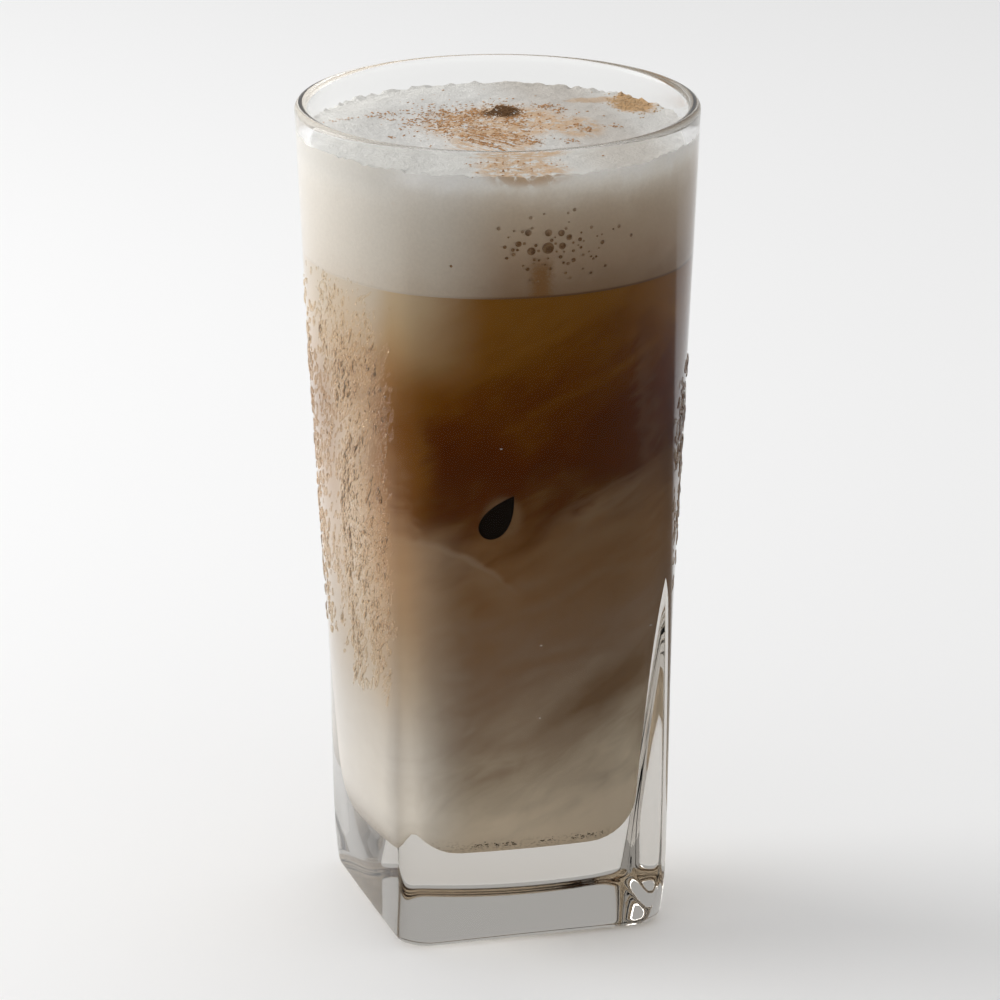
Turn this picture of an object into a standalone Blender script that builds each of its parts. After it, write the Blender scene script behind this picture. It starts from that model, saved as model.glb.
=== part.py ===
"""Salt coffee in its own glass, in metres, +Z up.

The glass is a tall pressed tumbler: a square foot with bowed sides turns into a round rim. It holds
pale milk at the bottom, dark coffee above it, and a thick cap of salted cream dusted with cocoa.
The origin is the middle of the foot's underside. The front side faces -Y.
"""

import bmesh
import bpy
import random
from collections import namedtuple
from math import atan2, cos, exp, hypot, pi, radians, sin, sqrt
from mathutils import Matrix, Vector

# Outside of the glass
HEIGHT = 0.150
RIM_RADIUS = 0.03616
FOOT_HALF = 0.02488
CORNER_FILLET = 0.0025
CORNER_OPENING = 0.0008
FOOT_SOFTENING = 0.0038
FOOT_SOFTENING_HEIGHT = 0.0146
FOOT_EDGE = 0.0020
FLARE = 1.404

# Inside of the glass: a plunger's form, almost straight low down, with a heavy floor
RIM_WALL = 0.0023
FLOOR = 0.0156
FLOOR_EDGE = 0.0078
CAVITY_HALF = 0.0199
CAVITY_FILLET = 0.0085
CAVITY_OPENING = 0.0055
FLOOR_SLOPE = 0.35
RIM_SLOPE = 0.42

# Levels of what it holds, and the clearance kept round each piece
MILK_LEVEL = 0.0805
MILK_TILT = 0.22
MILK_ROLL = 0.0012
MILK_ROLL_LENGTH = Vector((0.0065, 0.0085))
MILK_ROLL_START = Vector((0.7, -0.4))
CREAM_FOOT = 0.1229
CREAM_LEVEL = 0.1449
SWIRL_RISE = 0.0008
SWIRL_PITCH = 0.0285
SWIRL_TURN = 3.1
SWIRL_REACH = 0.0290
MOUND_PLACE = Vector((0.0190, 0.0020))
MOUND_RISE = 0.00035
MOUND_WIDTH = 0.0080
GAP = 0.0003

# Cocoa flakes that lie on the cream
DUST_CENTRE = Vector((-0.0005, 0.0030))
DUST_SPREAD = Vector((0.0095, 0.0095))
DUST_REACH = 0.0290
CLUMP_PLACE = Vector((0.0048, 0.0117))
CLUMP_SIZE = 0.0017
FLAKE_SIZE = 0.0008
FLAKE_COUNT = 26
FLAKE_SPACING = 0.0024
FLAKE_NARROWNESS = 0.7
FLAKE_FLATNESS = 0.45
FLAKE_SINK = 0.7
DUST_SEED = 7

# Fineness of the meshes
OCTANT_STEPS = 8
CORNER_CROWDING = 1.7
WALL_RINGS = 10
FOOT_RINGS = 3
EDGE_RINGS = 4
MILK_CAP_RINGS = 5
CREAM_CAP_RINGS = 12
SHARP_EDGE = radians(40)
LEAST = 0.00005

# Colours
GLASS_COLOUR = (0.92, 0.95, 0.94)
MILK_COLOUR = (0.36, 0.28, 0.21)
COFFEE_COLOUR = (0.10, 0.05, 0.02)
CREAM_COLOUR = (0.62, 0.58, 0.53)

# A surface of a filling: its height function, its usual height, its offset, its mesh's rings
Surface = namedtuple("Surface", "height_at nominal offset rings")


def reach(angle, middle, corner, fillet):
    """Distance from the axis to a four-sided outline with bowed sides and rounded corners.

    middle is the distance to the middle of a side, corner the x and y of the point where two sides
    would cross, and fillet the radius of the rounded corner. At a circle the three agree.
    """
    bow = max(middle - corner, LEAST)
    side_radius = (corner**2 + bow**2) / (2 * bow)
    fillet = min(fillet, side_radius - LEAST)
    side_centre = middle - side_radius
    inner = sqrt(max(2 * (side_radius - fillet) ** 2 - side_centre**2, 0))
    fillet_centre = (side_centre + inner) / 2
    turn = atan2(fillet_centre, fillet_centre - side_centre)
    join = atan2(side_radius * sin(turn), side_centre + side_radius * cos(turn))
    off_side = abs((angle + pi / 4) % (pi / 2) - pi / 4)
    if off_side < join:
        across = side_centre * sin(off_side)
        return side_centre * cos(off_side) + sqrt(side_radius**2 - across**2)
    off_corner = pi / 4 - off_side
    far = sqrt(2) * fillet_centre
    across = far * sin(off_corner)
    return far * cos(off_corner) + sqrt(max(fillet**2 - across**2, 0))


def edge_inset(rise, radius):
    """How far a quarter-round edge of this radius draws in, at a height above where it starts."""
    left = max(radius - rise, 0)
    return radius - sqrt(radius**2 - left**2)


def outside(angle, height):
    """Radius of the glass's outer face."""
    part = height / HEIGHT
    spread = FLARE * part + (1 - FLARE) * part**2
    middle = FOOT_HALF + (RIM_RADIUS - FOOT_HALF) * spread
    corner = FOOT_HALF + (RIM_RADIUS / sqrt(2) - FOOT_HALF) * part
    softening = FOOT_SOFTENING * max(1 - height / FOOT_SOFTENING_HEIGHT, 0) ** 2
    fillet = CORNER_FILLET + CORNER_OPENING * part + softening
    inset = edge_inset(height, FOOT_EDGE)
    return reach(angle, middle - inset, corner - inset, fillet - inset)


def inside(angle, height):
    """Radius of the glass's inner face."""
    part = (height - FLOOR) / (HEIGHT - FLOOR)
    cubic = FLOOR_SLOPE + RIM_SLOPE - 2
    square = 3 - 2 * FLOOR_SLOPE - RIM_SLOPE
    spread = cubic * part**3 + square * part**2 + FLOOR_SLOPE * part
    rim = RIM_RADIUS - RIM_WALL
    middle = CAVITY_HALF + (rim - CAVITY_HALF) * spread
    corner = CAVITY_HALF + (rim / sqrt(2) - CAVITY_HALF) * part
    fillet = CAVITY_FILLET + CAVITY_OPENING * part
    inset = edge_inset(height - FLOOR, FLOOR_EDGE)
    return reach(angle, middle - inset, corner - inset, fillet - inset)


def angles():
    """Directions of the mesh's columns, closer together towards the corners."""
    found = []
    for octant in range(8):
        for step in range(OCTANT_STEPS):
            share = step / OCTANT_STEPS
            if octant % 2:
                found.append(pi / 4 * (octant + share**CORNER_CROWDING))
            else:
                found.append(pi / 4 * (octant + 1 - (1 - share) ** CORNER_CROWDING))
    return found


def spread_evenly(start, end, count):
    return [start + (end - start) * step / count for step in range(count + 1)]


def rounded_heights(start, radius, count):
    """Heights of the rings round a quarter-round edge that starts at this height."""
    turns = spread_evenly(0, pi / 2, count)
    return [start + radius * (1 - cos(turn)) for turn in turns]


def milk_height(x, y):
    """Where the coffee floats on the milk: it slants, and rolls a little."""
    along = x / MILK_ROLL_LENGTH.x + MILK_ROLL_START.x
    across = y / MILK_ROLL_LENGTH.y + MILK_ROLL_START.y
    return MILK_LEVEL + MILK_TILT * x + MILK_ROLL * sin(along) * cos(across)


def cream_foot_height(x, y):
    return CREAM_FOOT


def cream_height(x, y):
    """The top of the cream: level, with one soft spiral ridge and a low mound on the right."""
    radius = hypot(x, y)
    ridge = cos(2 * pi * radius / SWIRL_PITCH - atan2(y, x) + SWIRL_TURN)
    fading = radius / RIM_RADIUS * exp(-((radius / SWIRL_REACH) ** 4))
    from_mound = (Vector((x, y)) - MOUND_PLACE).length / MOUND_WIDTH
    return CREAM_LEVEL + SWIRL_RISE * ridge * fading + MOUND_RISE * exp(-(from_mound**2))


def object_from(name, bm, material):
    """Makes the bmesh an object that is smooth but for its sharp edges."""
    bmesh.ops.recalc_face_normals(bm, faces=bm.faces)
    mesh = bpy.data.meshes.new(name)
    bm.to_mesh(mesh)
    bm.free()
    mesh.shade_smooth()
    mesh.set_sharp_from_angle(angle=SHARP_EDGE)
    mesh.materials.append(material)
    obj = bpy.data.objects.new(name, mesh)
    bpy.context.scene.collection.objects.link(obj)
    return obj


def skin(bm, rings):
    """Joins closed rings of points, in order, with quads."""
    loops = [[bm.verts.new(point) for point in ring] for ring in rings]
    for low, high in zip(loops, loops[1:]):
        for k in range(len(low)):
            following = (k + 1) % len(low)
            bm.faces.new((low[k], low[following], high[following], high[k]))
    return loops


def close_flat(bm, loop, centre):
    """Closes a flat ring with a fan of triangles."""
    middle = bm.verts.new(centre)
    for k in range(len(loop)):
        bm.faces.new((loop[k], loop[(k + 1) % len(loop)], middle))


def material(name, colour, roughness, alpha=1.0, transmission=0.0):
    made = bpy.data.materials.new(name)
    made.use_nodes = True
    shader = made.node_tree.nodes["Principled BSDF"]
    shader.inputs["Base Color"].default_value = (*colour, 1.0)
    shader.inputs["Roughness"].default_value = roughness
    shader.inputs["Metallic"].default_value = 0.0
    shader.inputs["Alpha"].default_value = alpha
    shader.inputs["Transmission Weight"].default_value = transmission
    return made


def ring(wall, heights, shrink=0.0):
    """One ring of points on a wall, each column at its own height."""
    points = []
    for angle, height in zip(angles(), heights):
        radius = wall(angle, height) - shrink
        points.append((radius * cos(angle), radius * sin(angle), height))
    return points


def level_ring(wall, height, shrink=0.0):
    return ring(wall, [height] * len(angles()), shrink)


def rim_rings():
    """The round bead that joins the outer face to the inner one."""
    bead = RIM_WALL / 2
    made = []
    for turn in spread_evenly(0, pi, 2 * EDGE_RINGS):
        radius = RIM_RADIUS - bead + bead * cos(turn)
        height = HEIGHT - bead + bead * sin(turn)
        made.append([(radius * cos(angle), radius * sin(angle), height) for angle in angles()])
    return made


def make_glass():
    bm = bmesh.new()
    shoulder = HEIGHT - RIM_WALL / 2
    outer = rounded_heights(0, FOOT_EDGE, EDGE_RINGS)
    outer += spread_evenly(FOOT_EDGE, FOOT_SOFTENING_HEIGHT, FOOT_RINGS)[1:]
    outer += spread_evenly(FOOT_SOFTENING_HEIGHT, shoulder, WALL_RINGS)[1:-1]
    inner = spread_evenly(shoulder, FLOOR + FLOOR_EDGE, WALL_RINGS)[1:-1]
    inner += reversed(rounded_heights(FLOOR, FLOOR_EDGE, EDGE_RINGS))
    rings = [level_ring(outside, height) for height in outer]
    rings += rim_rings()
    rings += [level_ring(inside, height) for height in inner]
    loops = skin(bm, rings)
    close_flat(bm, loops[0], (0, 0, 0))
    close_flat(bm, loops[-1], (0, 0, FLOOR))
    look = material("clear glass", GLASS_COLOUR, roughness=0.03, alpha=0.35, transmission=1.0)
    return object_from("glass", bm, look)


def column_heights(surface):
    """Height of each column where a surface meets the inner wall, less the clearance."""
    found = []
    for angle in angles():
        radius = inside(angle, surface.nominal) - GAP
        found.append(surface.height_at(radius * cos(angle), radius * sin(angle)) + surface.offset)
    return found


def cap_rings(edge, surface):
    """Rings from a wall's edge in towards the axis, on a surface."""
    made = []
    for step in range(1, surface.rings):
        share = 1 - step / surface.rings
        inner = []
        for x, y, _ in edge:
            height = surface.height_at(x * share, y * share) + surface.offset
            inner.append((x * share, y * share, height))
        made.append(inner)
    return made


def centre_of(surface):
    return (0, 0, surface.height_at(0, 0) + surface.offset)


def make_filling(name, low, high, wall_rings, look):
    """A body that fills the glass from one surface up to another."""
    bm = bmesh.new()
    bottoms = column_heights(low)
    tops = column_heights(high)
    side = []
    for share in spread_evenly(0, 1, wall_rings):
        heights = [bottom + (top - bottom) * share for bottom, top in zip(bottoms, tops)]
        side.append(ring(inside, heights, GAP))
    under = cap_rings(side[0], low)
    over = cap_rings(side[-1], high)
    loops = skin(bm, under[::-1] + side + over)
    close_flat(bm, loops[0], centre_of(low))
    close_flat(bm, loops[-1], centre_of(high))
    return object_from(name, bm, look)


def make_milk():
    """The lowest layer, which takes the rounded form of the glass's floor."""
    bm = bmesh.new()
    top = Surface(milk_height, MILK_LEVEL, -GAP / 2, MILK_CAP_RINGS)
    rings = []
    for height in rounded_heights(FLOOR, FLOOR_EDGE, EDGE_RINGS):
        rings.append([(x, y, z + GAP) for x, y, z in level_ring(inside, height, GAP)])
    start = FLOOR + GAP + FLOOR_EDGE
    tops = column_heights(top)
    for share in spread_evenly(0, 1, WALL_RINGS)[1:]:
        rings.append(ring(inside, [start + (height - start) * share for height in tops], GAP))
    rings += cap_rings(rings[-1], top)
    loops = skin(bm, rings)
    close_flat(bm, loops[0], (0, 0, FLOOR + GAP))
    close_flat(bm, loops[-1], centre_of(top))
    return object_from("milk_layer", bm, material("milk", MILK_COLOUR, roughness=0.3))


def make_coffee():
    low = Surface(milk_height, MILK_LEVEL, GAP / 2, MILK_CAP_RINGS)
    high = Surface(cream_foot_height, CREAM_FOOT, -GAP / 2, 1)
    look = material("coffee", COFFEE_COLOUR, roughness=0.25)
    return make_filling("coffee_layer", low, high, EDGE_RINGS, look)


def flake_places():
    """Places of the larger cocoa flakes, thicker in the middle of the dusting, never too close."""
    draw = random.Random(DUST_SEED)
    found = [CLUMP_PLACE]
    while len(found) < FLAKE_COUNT:
        offset = Vector((draw.gauss(0, DUST_SPREAD.x), draw.gauss(0, DUST_SPREAD.y)))
        place = DUST_CENTRE + offset
        near = min((place - other).length for other in found)
        if near > FLAKE_SPACING and place.length < DUST_REACH:
            found.append(place)
    return found


def add_flake(collection, place, size, turn):
    """A flat grain with few sides, partly sunk in the cream."""
    bm = bmesh.new()
    bmesh.ops.create_icosphere(bm, subdivisions=1, radius=size)
    bmesh.ops.scale(bm, vec=(1, FLAKE_NARROWNESS, FLAKE_FLATNESS), verts=bm.verts)
    bmesh.ops.rotate(bm, matrix=Matrix.Rotation(turn, 3, "Z"), verts=bm.verts)
    height = cream_height(place.x, place.y) + size * FLAKE_FLATNESS * (1 - 2 * FLAKE_SINK)
    bmesh.ops.translate(bm, vec=(place.x, place.y, height), verts=bm.verts)
    mesh = bpy.data.meshes.new("flake")
    bm.to_mesh(mesh)
    bm.free()
    collection.objects.link(bpy.data.objects.new("flake", mesh))


def make_cream():
    """The cap of cream, with the larger flakes fused to its top."""
    low = Surface(cream_foot_height, CREAM_FOOT, GAP / 2, 1)
    high = Surface(cream_height, CREAM_LEVEL, 0, CREAM_CAP_RINGS)
    look = material("salted cream", CREAM_COLOUR, roughness=0.6)
    cream = make_filling("cream_foam", low, high, EDGE_RINGS, look)
    flakes = bpy.data.collections.new("flakes")
    draw = random.Random(DUST_SEED + 1)
    for place in flake_places():
        size = CLUMP_SIZE if place == CLUMP_PLACE else FLAKE_SIZE * draw.uniform(0.7, 1.3)
        add_flake(flakes, place, size, draw.uniform(0, pi))
    fuse(cream, flakes)


def fuse(obj, collection):
    """Joins a collection's objects to this one for good, then removes them."""
    bpy.context.scene.collection.children.link(collection)
    joined = obj.modifiers.new("flakes", "BOOLEAN")
    joined.operation = "UNION"
    joined.operand_type = "COLLECTION"
    joined.collection = collection
    bpy.context.view_layer.update()
    graph = bpy.context.evaluated_depsgraph_get()
    mesh = bpy.data.meshes.new_from_object(obj.evaluated_get(graph), depsgraph=graph)
    obj.modifiers.clear()
    obj.data = mesh
    for part in list(collection.objects):
        bpy.data.objects.remove(part)
    bpy.data.collections.remove(collection)


def clear_scene():
    for obj in list(bpy.data.objects):
        bpy.data.objects.remove(obj)


def main():
    clear_scene()
    make_glass()
    make_milk()
    make_coffee()
    make_cream()


main()
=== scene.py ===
"""Looks of the salt coffee in its glass: fine glass, swirled drink, frothy cream, cocoa, dew.

Every piece repeats the form of the solid it stands for, in metres, +Z up, front towards -Y.
The materials work in millimetres, in the same frame.
"""

import random
from math import atan2, cos, exp, hypot, pi, radians, sin, sqrt

import bmesh
import bpy
from mathutils import Matrix, Vector, noise

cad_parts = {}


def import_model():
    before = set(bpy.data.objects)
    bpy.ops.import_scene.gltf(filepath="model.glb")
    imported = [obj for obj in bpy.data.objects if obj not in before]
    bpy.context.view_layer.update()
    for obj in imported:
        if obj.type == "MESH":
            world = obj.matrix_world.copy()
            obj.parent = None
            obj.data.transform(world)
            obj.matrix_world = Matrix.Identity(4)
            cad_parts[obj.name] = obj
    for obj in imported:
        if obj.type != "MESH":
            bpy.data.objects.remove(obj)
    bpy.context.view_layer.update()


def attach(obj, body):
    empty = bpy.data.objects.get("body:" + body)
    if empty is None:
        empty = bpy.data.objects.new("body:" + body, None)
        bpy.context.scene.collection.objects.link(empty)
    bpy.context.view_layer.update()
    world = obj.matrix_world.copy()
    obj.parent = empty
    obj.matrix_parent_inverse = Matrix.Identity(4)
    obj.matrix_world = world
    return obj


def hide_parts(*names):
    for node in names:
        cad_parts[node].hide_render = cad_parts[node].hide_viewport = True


# Millimetres in a metre
MM = 1000

# Form of the glass, as in its solid
HEIGHT = 0.150
RIM_RADIUS = 0.03616
FOOT_HALF = 0.02488
CORNER_FILLET = 0.0025
CORNER_OPENING = 0.0008
FOOT_SOFTENING = 0.0038
FOOT_SOFTENING_HEIGHT = 0.0146
FOOT_EDGE = 0.0020
FLARE = 1.404
RIM_WALL = 0.0023
FLOOR = 0.0156
FLOOR_EDGE = 0.0078
CAVITY_HALF = 0.0199
CAVITY_FILLET = 0.0085
CAVITY_OPENING = 0.0055
FLOOR_SLOPE = 0.35
RIM_SLOPE = 0.42

# Form of what it holds, as in the solids
MILK_LEVEL = 0.0805
MILK_TILT = 0.22
MILK_ROLL = 0.0012
MILK_ROLL_LENGTH = Vector((0.0065, 0.0085))
MILK_ROLL_START = Vector((0.7, -0.4))
CREAM_FOOT = 0.1229
CREAM_LEVEL = 0.1449
SWIRL_RISE = 0.0008
SWIRL_PITCH = 0.0285
SWIRL_TURN = 3.1
SWIRL_REACH = 0.0290
MOUND_PLACE = Vector((0.0190, 0.0020))
MOUND_RISE = 0.00035
MOUND_WIDTH = 0.0080
DUST_CENTRE = Vector((-0.0005, 0.0030))
DUST_SPREAD = Vector((0.0095, 0.0095))
DUST_REACH = 0.0290
CLUMP_PLACE = Vector((0.0048, 0.0117))
CLUMP_SIZE = 0.0017
FLAKE_SIZE = 0.0008
FLAKE_COUNT = 26
FLAKE_SPACING = 0.0024
DUST_SEED = 7
LEAST = 0.00005

# Search for a point on the front of the inner wall: where it starts, and its rounds
FRONT_START = -0.03
FRONT_ROUNDS = 12

# How far the drink and the cream reach into the wall, so that no air shows between them
BITE = 0.00008
SEAM = 0.00001

# Fineness of the meshes, and how far in the ring lies that keeps a flat end flat
OCTANT_STEPS = 22
CORNER_CROWDING = 1.5
GLASS_WALL_RINGS = 60
FILLING_RINGS = 60
CREAM_STEPS = 44
CREAM_SIDE_RINGS = 56
CREAM_TOP_RINGS = 84
ROUND_RINGS = 10
SHARP_EDGE = radians(40)
FLAT_SHARE = 0.97

# Relief of the cream's top: slow and quick roughness, and froth that climbs the wall
ROUGH_LENGTH = 0.0032
ROUGH_RISE = 0.00022
GRAIN_LENGTH = 0.0011
GRAIN_RISE = 0.00010
FROTH_LENGTH = 0.0010
FROTH_RISE = 0.00065
FROTH_START = 0.93
FROTH_BASE = 0.4

# Bubbles that open on the side of the cream: x, height and radius. The first is the largest
BUBBLES = [
    (-0.0005, 0.1320, 0.00105),
    (0.0020, 0.1322, 0.00064),
    (-0.0034, 0.1316, 0.00073),
    (0.0018, 0.1346, 0.00061),
    (0.0032, 0.1337, 0.00055),
    (-0.0056, 0.1330, 0.00055),
    (-0.0040, 0.1350, 0.00058),
    (-0.0005, 0.1348, 0.00066),
    (0.0052, 0.1331, 0.00037),
    (0.0094, 0.1320, 0.00040),
    (0.0041, 0.1294, 0.00042),
    (-0.0163, 0.1288, 0.00026),
]
BUBBLE_SEED = 11
SMALL_BUBBLES = 62
SMALL_BUBBLE_SIZE = (0.00015, 0.00036)
BUBBLE_SPREAD = Vector((0.0044, 0.0027))
BUBBLE_DRIFT = (0.0010, 0.0004)
BUBBLE_GAP = 0.00012
BUBBLE_HEIGHTS = (CREAM_FOOT + 0.002, CREAM_LEVEL - 0.004)
# Middle of a bubble's ball, outside the wall, in shares of the bubble's radius
BUBBLE_DEPTH = -0.30

# Cocoa powder: clouds of grains, each with its place, its spread and its number of grains
GRAIN_SIZE = 0.00014
GRAIN_SIZES = (0.45, 1.8)
GRAIN_SIZE_POWER = 1.8
GRAIN_SHARES = (1.0, 0.6, 0.35)
GRAIN_UNEVENNESS = (0.7, 1.2)
GRAIN_LIFT = 0.1
DUST_CLOUDS = [
    ((0.0010, 0.0050), (0.0078, 0.0075), 800),
    ((0.0052, 0.0115), (0.0011, 0.0019), 900),
    ((-0.0075, 0.0085), (0.0030, 0.0060), 620),
    ((0.0000, 0.0125), (0.0050, 0.0022), 460),
    ((0.0123, 0.0118), (0.0012, 0.0010), 90),
    ((0.0143, 0.0089), (0.0008, 0.0008), 40),
    ((0.0134, -0.0035), (0.0008, 0.0011), 60),
    ((0.0149, -0.0056), (0.0006, 0.0007), 40),
    ((0.0206, -0.0049), (0.0009, 0.0005), 26),
    ((0.0099, -0.0121), (0.0008, 0.0008), 36),
    ((0.0040, -0.0104), (0.0010, 0.0012), 60),
    ((-0.0135, 0.0088), (0.0013, 0.0022), 90),
    ((-0.0178, 0.0140), (0.0017, 0.0010), 60),
    ((-0.0149, 0.0152), (0.0010, 0.0008), 26),
    ((-0.0257, 0.0131), (0.0012, 0.0006), 22),
    ((0.0018, 0.0118), (0.0017, 0.0011), 240),
    ((-0.0044, -0.0240), (0.0044, 0.0040), 150),
]
# Thin streaks of cocoa, as curves through a first, a bending and a last place
STREAK_PLACES = [
    Vector((-0.0105, -0.0015)),
    Vector((-0.0064, -0.0090)),
    Vector((-0.0015, -0.0175)),
]
STREAK_COUNT = 7
STREAK_STEP = Vector((0.0013, 0.0008))
STREAK_GRAINS = 120
STREAK_WIDTH = 0.00016
STREAK_STRAY = 0.0009
STREAK_STARTS = (0, 0.4)
STREAK_ENDS = (0.7, 1)

# Sizes of the larger flakes, in shares of the usual one. Crumbs break each one up: how many, the
# flake's size over how far they scatter, and their sizes in shares of the flake
FLAKE_SIZES = (0.7, 1.3)
FLAKE_CRUMBS = 14
CRUMB_SCATTER = (2.2, 2.6)
CRUMB_SIZES = (0.25, 0.45)

# Crema that floats against the wall on the right
CREMA_PLACE = Vector((0.0286, 0.0112))
CREMA_SIZE = Vector((0.0044, 0.0074))
CREMA_BUBBLES = 260
CREMA_BUBBLE_SIZE = (0.00010, 0.00026)
CREMA_BUBBLE_SINK = 0.3

# Dark hole in the swirl, near the front wall
DROP_PLACE = Vector((-0.0074, 0, 0.0819))
DROP_LENGTH = 0.0092
DROP_WIDTH = 0.0050
DROP_TURN = radians(31)
# How round it is below, how much its sides swell, its mesh and its depth
DROP_TAPER = 0.95
DROP_SWELL = 1.25
DROP_POINTS = 40
DROP_RINGS = 6
DROP_SHRINK = 0.92
DROP_DEPTH = 0.0022
DROP_BACK = 0.0024
DROP_BITE = 2 * BITE
DROP_FRONT = 2.5 * BITE

# Tiny pale bubbles on the inner wall, and dark sediment along the front of its floor: x and height
PALE_SPECKS = [(-0.0075, 0.0949), (0.0008, 0.0424), (0.0006, 0.0566), (0.0211, 0.0567)]
PALE_SPECK_SIZE = 0.00026
PALE_SPECK_SIZES = (1.2, 1.6)
PALE_SPECK_GRAINS = 3
# Runs of sediment: middle, half their length, and number of grains
SEDIMENT_RUNS = [
    (-0.0090, 0.0016, 26),
    (-0.0045, 0.0022, 34),
    (0.0035, 0.0015, 16),
    (0.0105, 0.0030, 46),
]
SEDIMENT_HEIGHT = 0.0176
SEDIMENT_SLOPE = 0.02
SEDIMENT_STRAY = 0.0003
SEDIMENT_SIZE = 0.00017
SEDIMENT_SIZES = (0.8, 2.0)

# Dew on the outside: thick on the left, a strip at the right corner, thin behind, a few in front.
# Each field has the side it faces, its number of drops, the angles it spreads over, its heights
# and the size of its drops
DEW_SEED = 5
DEW_SIZE = 0.00033
DEW_FIELDS = [
    (pi, 1000, (-0.70, 0.74), (0.050, 0.124), 1.0),
    (pi, 900, (0.26, 0.70), (0.046, 0.114), 1.15),
    (pi, 380, (0.10, 0.64), (0.102, 0.125), 0.7),
    (-pi / 4, 140, (0.02, 0.30), (0.064, 0.106), 0.9),
    (0, 340, (-0.50, 0.70), (0.046, 0.110), 1.0),
    (pi / 2, 380, (-0.72, 0.72), (0.050, 0.118), 1.0),
    (pi + 0.73, 7, (-0.03, 0.03), (0.058, 0.062), 1.0),
]
DEW_SINK = 0.00004
DEW_POINTS = 8
# Dew comes in patches, thins out towards the foot and the top of a field, and keeps apart
DEW_PATCH_TURNS = 9
DEW_PATCH_HEIGHTS = 90
DEW_THICKNESS = 0.75
DEW_LOW_EDGE = 0.018
DEW_HIGH_EDGE = 0.022
WALL_REACH = 0.030
DEW_GAP = 1.25
DEW_GAP_TALLNESS = 1.7
DEW_SIZES = (0.5, 1.6)
# Form of a drop: how tall, how leaning, how wavy and how thick it is, and its rings from the edge
DEW_STRETCH = (1.2, 3.0)
DEW_LEAN = (-0.2, 1.8)
DEW_LEANING = 0.5
DEW_WAVES = (2, 3)
DEW_WAVE_DEPTH = (0.08, 0.34)
DEW_RISE = (0.35, 0.6)
DEW_SHOULDER = (0.86, 0.60)
DEW_TOP = 0.45
DEW_TIP = 1.05

# Air under the foot, which lets the foot mirror the studio as it would on a table
FOOT_GAP = 0.0002

# Camera
DISTANCE = 1.2
ELEVATION = radians(17.70)
AZIMUTH = radians(-16.00)
LENS = 238.63
AIM_HEIGHT = 0.075
AIM_UP = 0.00065
AIM_RIGHT = 0.00042

# Soft studio light: each lamp with its place, size and power
LAMPS = [
    ("left-back", (-0.9, 0.55, 0.55), (0.8, 0.9), 10),
    ("overhead", (0.1, 0.35, 1.2), (0.9, 0.9), 3.2),
]
LAMP_AIM = (0, 0, 0.09)
FLOOR_HALF = 4.0


def reach(angle, middle, corner, fillet):
    """Distance from the axis to a four-sided outline with bowed sides and rounded corners."""
    bow = max(middle - corner, LEAST)
    side_radius = (corner**2 + bow**2) / (2 * bow)
    fillet = min(fillet, side_radius - LEAST)
    side_centre = middle - side_radius
    inner = sqrt(max(2 * (side_radius - fillet) ** 2 - side_centre**2, 0))
    fillet_centre = (side_centre + inner) / 2
    turn = atan2(fillet_centre, fillet_centre - side_centre)
    join = atan2(side_radius * sin(turn), side_centre + side_radius * cos(turn))
    off_side = abs((angle + pi / 4) % (pi / 2) - pi / 4)
    if off_side < join:
        across = side_centre * sin(off_side)
        return side_centre * cos(off_side) + sqrt(side_radius**2 - across**2)
    off_corner = pi / 4 - off_side
    far = sqrt(2) * fillet_centre
    across = far * sin(off_corner)
    return far * cos(off_corner) + sqrt(max(fillet**2 - across**2, 0))


def edge_inset(rise, radius):
    """How far a quarter-round edge of this radius draws in, at a height above where it starts."""
    left = max(radius - rise, 0)
    return radius - sqrt(radius**2 - left**2)


def outside(angle, height):
    """Radius of the glass's outer face."""
    part = height / HEIGHT
    spread = FLARE * part + (1 - FLARE) * part**2
    middle = FOOT_HALF + (RIM_RADIUS - FOOT_HALF) * spread
    corner = FOOT_HALF + (RIM_RADIUS / sqrt(2) - FOOT_HALF) * part
    softening = FOOT_SOFTENING * max(1 - height / FOOT_SOFTENING_HEIGHT, 0) ** 2
    fillet = CORNER_FILLET + CORNER_OPENING * part + softening
    inset = edge_inset(height, FOOT_EDGE)
    return reach(angle, middle - inset, corner - inset, fillet - inset)


def inside(angle, height):
    """Radius of the glass's inner face."""
    part = (height - FLOOR) / (HEIGHT - FLOOR)
    cubic = FLOOR_SLOPE + RIM_SLOPE - 2
    square = 3 - 2 * FLOOR_SLOPE - RIM_SLOPE
    spread = cubic * part**3 + square * part**2 + FLOOR_SLOPE * part
    rim = RIM_RADIUS - RIM_WALL
    middle = CAVITY_HALF + (rim - CAVITY_HALF) * spread
    corner = CAVITY_HALF + (rim / sqrt(2) - CAVITY_HALF) * part
    fillet = CAVITY_FILLET + CAVITY_OPENING * part
    inset = edge_inset(height - FLOOR, FLOOR_EDGE)
    return reach(angle, middle - inset, corner - inset, fillet - inset)


def angles(steps=OCTANT_STEPS):
    """Directions of a mesh's columns, closer together towards the corners."""
    found = []
    for octant in range(8):
        for step in range(steps):
            share = step / steps
            if octant % 2:
                found.append(pi / 4 * (octant + share**CORNER_CROWDING))
            else:
                found.append(pi / 4 * (octant + 1 - (1 - share) ** CORNER_CROWDING))
    return found


def spread_evenly(start, end, count):
    """Values from start to end in this many equal steps."""
    return [start + (end - start) * step / count for step in range(count + 1)]


def rounded_heights(start, radius, count):
    """Heights of the rings round a quarter-round edge that starts at this height."""
    turns = spread_evenly(0, pi / 2, count)
    return [start + radius * (1 - cos(turn)) for turn in turns]


def milk_height(x, y):
    """Where the coffee floats on the milk: it slants, and rolls a little."""
    along = x / MILK_ROLL_LENGTH.x + MILK_ROLL_START.x
    across = y / MILK_ROLL_LENGTH.y + MILK_ROLL_START.y
    return MILK_LEVEL + MILK_TILT * x + MILK_ROLL * sin(along) * cos(across)


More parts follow.
